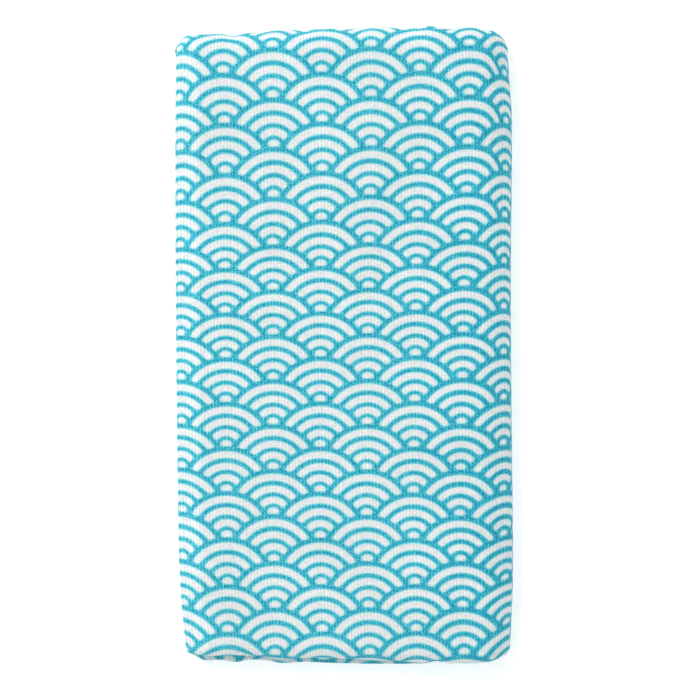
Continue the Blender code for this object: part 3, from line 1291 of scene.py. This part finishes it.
    def build(self) -> bpy.types.Object:
        """Builds the mesh with its maps and materials.

        Returns:
            The cloth's object.
        """
        across, along = self.across(), self.along()
        to_print = self.half_thickness(across, along, Face.PRINT)
        to_pile = -self.half_thickness(across, along, Face.PILE)
        print_points, print_flat = self.sheet_points(across, along, to_print)
        pile_points, pile_flat = self.sheet_points(across, along, to_pile)
        count_along, count_across = to_print.shape
        size = count_along * count_across
        points = np.concatenate([print_points.reshape(-1, 3), pile_points.reshape(-1, 3)])
        flat = np.concatenate([print_flat.reshape(-1, 2), pile_flat.reshape(-1, 2)])
        middle = (points[:, :2].min(0) + points[:, :2].max(0)) / 2
        points[:, :2] -= middle

        number = np.arange(size).reshape(count_along, count_across)

        def quads(first: Array, second: Array) -> Array:
            """Faces between two rows of points."""
            return np.stack([first[:-1], first[1:], second[1:], second[:-1]], -1).reshape(-1, 4)

        def grid(numbers: Array) -> Array:
            """Faces of a grid of points."""
            corners = [numbers[:-1, :-1], numbers[:-1, 1:], numbers[1:, 1:], numbers[1:, :-1]]
            return np.stack(corners, -1).reshape(-1, 4)

        print_faces = grid(number)
        pile_faces = grid(number + size)[:, ::-1]
        ends = [quads(number[-1], number[-1] + size), quads(number[0] + size, number[0])]
        selvedges = [quads(number[:, 0], number[:, 0] + size), quads(number[:, -1] + size, number[:, -1])]
        faces = np.concatenate([print_faces, pile_faces, *ends, *selvedges])

        mesh = bpy.data.meshes.new("towel_cloth")
        mesh.from_pydata(points.tolist(), [], faces.tolist())
        slots = np.zeros(len(faces), np.int32)
        hem_rows = self.hem_faces(along, count_across)
        slots[len(print_faces):2 * len(print_faces)] = np.where(hem_rows, Face.PRINT.value, Face.PILE.value)
        slots[-2 * (count_along - 1):] = Face.PILE.value
        mesh.polygons.foreach_set("material_index", slots)
        mesh.polygons.foreach_set("use_smooth", np.ones(len(faces), bool))
        corners = faces.reshape(-1)
        maps = {
            PRINT_MAP: self.print_places(flat, middle)[corners],
            CLOTH_MAP: flat[corners],
            BAKE_MAP: self.bake_places(across, along, faces),
        }
        for name, values in maps.items():
            layer = mesh.uv_layers.new(name=name)
            layer.data.foreach_set("uv", values.astype(np.float32).reshape(-1))
        mesh.validate()
        cloth = bpy.data.objects.new("towel_cloth", mesh)
        bpy.context.scene.collection.objects.link(cloth)
        return cloth

    def islands(self, across: FoldedLine, along: FoldedLine) -> list[Island]:
        """Shares out the baked picture, of which the uppermost panel gets over half.

        Args:
            across: The fold in thirds.
            along: The fold in quarters.

        Returns:
            The islands of both faces.
        """
        last_row, last_column = len(along.walked) - 1, len(across.walked) - 1
        lowest_end = int(np.argmax(along.heading > STRAIGHT)) - 1
        top = (lowest_end, int(np.argmax(along.heading > 2 * math.pi - STRAIGHT)))
        halfway_round = 1.5 * math.pi
        third = int(last_row - np.argmax(along.heading[::-1] > halfway_round - STRAIGHT))
        left_end = int(np.argmax(across.heading > math.pi + STRAIGHT)) - 1
        core = (left_end, int(np.argmax(across.heading > 3 * math.pi - STRAIGHT)))
        rows = (0, last_row)
        rest = [
            (Face.PRINT, (0, top[0]), core),
            (Face.PRINT, (top[1], third), core),
            (Face.PRINT, (third, last_row), core),
            (Face.PRINT, rows, (0, core[0])),
            (Face.PRINT, rows, (core[1], last_column)),
            (Face.PILE, rows, (0, last_column)),
        ]
        left, right = self.rest_column
        islands = [Island(Face.PRINT, top, core, *self.panel_box, False)]
        for part, (low, high) in zip(rest, self.rooms):
            islands.append(Island(*part, (left, low), (right, high), True))
        return islands

    def bake_places(self, across: FoldedLine, along: FoldedLine, faces: Array) -> Array:
        """Lays the faces out on the baked picture, with no overlap.

        Args:
            across: The fold in thirds.
            along: The fold in quarters.
            faces: The mesh's faces: the print's grid, the pile's grid and then the four rims.

        Returns:
            A place for each corner of each face.
        """
        count_along, count_across = len(along.walked), len(across.walked)
        size = count_along * count_across
        row, column = np.divmod(faces % size, count_across)
        on_pile = faces >= size
        number = np.arange(len(faces))
        in_grid = (count_along - 1) * (count_across - 1)
        places = np.zeros((len(faces), 4, 2))

        def lay(chosen: Array, u: Array, v: Array, low: Corner, high: Corner) -> None:
            """Puts faces into a box of the picture.

            Args:
                chosen: Which faces.
                u: Each corner's place across.
                v: Each corner's place along.
                low: The box's lower corner.
                high: Its upper corner.
            """
            share = np.stack([u, v], -1)[chosen]
            share = (share - share.min((0, 1))) / np.ptp(share, axis=(0, 1))
            places[chosen] = np.array(low) + share * (np.array(high) - np.array(low))

        u, v = across.walked[column], along.walked[row]
        for island in self.islands(across, along):
            first = in_grid * island.face.value
            chosen = (number >= first) & (number < first + in_grid)
            chosen &= (row.min(1) >= island.rows[0]) & (row.max(1) <= island.rows[1])
            chosen &= (column.min(1) >= island.columns[0]) & (column.max(1) <= island.columns[1])
            pair = (v, u) if island.turned else (u, v)
            lay(chosen, *pair, island.low, island.high)
        first = 2 * in_grid
        left, right = self.rest_column
        for rim, (count, walked) in enumerate([(count_across - 1, u)] * 2 + [(count_along - 1, v)] * 2):
            chosen = (number >= first) & (number < first + count)
            low = self.rims_from + self.rim_pitch * rim
            lay(chosen, walked, on_pile.astype(float), (left, low), (right, low + self.rim_height))
            first += count
        return places.reshape(-1, 2)

    def hem_faces(self, along: FoldedLine, count_across: int) -> Array:
        """Finds the pile's faces that show the print, because the hem is turned over to that side.

        Args:
            along: The fold in quarters.
            count_across: The points across the grid.

        Returns:
            True for each such face of the pile's grid.
        """
        to_end = np.minimum(along.walked, along.walked[-1] - along.walked)
        is_hem = np.maximum(to_end[:-1], to_end[1:]) < self.plan.hem_depth + self.hem_slack
        return np.repeat(is_hem, count_across - 1)

    def ends(self) -> tuple[float, float]:
        """Finds the cloth's two ends on its own map.

        Returns:
            The upper end's place and the lower end's.
        """
        along = self.along()
        middle = along.walked[np.abs(along.heading - math.pi) < STRAIGHT][0]
        return self.plan.last_fold_y + middle - along.walked[-1], self.plan.last_fold_y + middle

    def dress(self, cloth: bpy.types.Object) -> None:
        """Args:
            cloth: The cloth's object.
        """
        for finish in (PrintedGauze(ends=self.ends()), LoopedPile()):
            cloth.data.materials.append(finish.material())
        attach(cloth, BODY)
        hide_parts(NODE)


@dataclass(frozen=True)
class Studio:
    """The floor, the lights and the camera above the towel."""

    camera_height: float = 2.2
    view_width: float = 0.2457
    view_level: float = 0.0145
    aim_x: float = 0.0022
    aim_y: float = -0.0018
    sensor_width: float = 36.0
    farthest: float = 20.0
    floor_size: float = 6.0
    key_power: float = 27.8
    key_size: float = 1.0
    key_place: tuple[float, float, float] = (-1.1, 1.1, 1.9)
    fill: float = 0.686
    surround: Color = (1.0, 1.0, 1.0, 1.0)

    def build(self) -> None:
        """Builds everything round the towel."""
        self.floor()
        self.lights()
        self.camera()
        view = bpy.context.scene.view_settings
        view.view_transform = "Standard"

    def floor(self) -> None:
        """A wide plain floor at the towel's base."""
        half = self.floor_size / 2
        mesh = bpy.data.meshes.new("studio_floor")
        corners = [(-half, -half, 0.0), (half, -half, 0.0), (half, half, 0.0), (-half, half, 0.0)]
        mesh.from_pydata(corners, [], [(0, 1, 2, 3)])
        mesh.materials.append(FloorFinish().material())
        floor = bpy.data.objects.new("studio_floor", mesh)
        bpy.context.scene.collection.objects.link(floor)

    def lights(self) -> None:
        """An even bright surround with one large soft lamp."""
        world = bpy.data.worlds.new("studio")
        world.use_nodes = True
        background = world.node_tree.nodes["Background"]
        background.inputs["Color"].default_value = self.surround
        background.inputs["Strength"].default_value = self.fill
        bpy.context.scene.world = world
        data = bpy.data.lights.new("soft_box", "AREA")
        data.shape = "DISK"
        data.size = self.key_size
        data.energy = self.key_power
        lamp = bpy.data.objects.new("soft_box", data)
        lamp.location = self.key_place
        lamp.rotation_euler = Vector(self.key_place).to_track_quat("Z", "Y").to_euler()
        bpy.context.scene.collection.objects.link(lamp)

    def camera(self) -> None:
        """A long lens straight above, framed as in the photograph."""
        data = bpy.data.cameras.new("camera")
        data.sensor_width = self.sensor_width
        data.lens = self.sensor_width * (self.camera_height - self.view_level) / self.view_width
        data.clip_end = self.farthest
        camera = bpy.data.objects.new("camera", data)
        camera.location = (self.aim_x, self.aim_y, self.camera_height)
        bpy.context.scene.collection.objects.link(camera)
        bpy.context.scene.camera = camera


def main() -> None:
    """Builds the shared effects, the towel and the studio, in that order."""
    logging.basicConfig(level=logging.INFO, format="%(message)s")
    for effect in (PlainWeave(), WaveFans(), SeamRow(), SoftTone()):
        effect.build()
        LOG.info("effect %s", effect.name)
    plan = FoldPlan()
    towel = TowelCloth(plan, PrintPlan())
    cloth = towel.build()
    towel.dress(cloth)
    LOG.info("cloth: %d faces", len(cloth.data.polygons))
    Studio().build()
    LOG.info("studio ready")


if __name__ == "__main__":
    main()
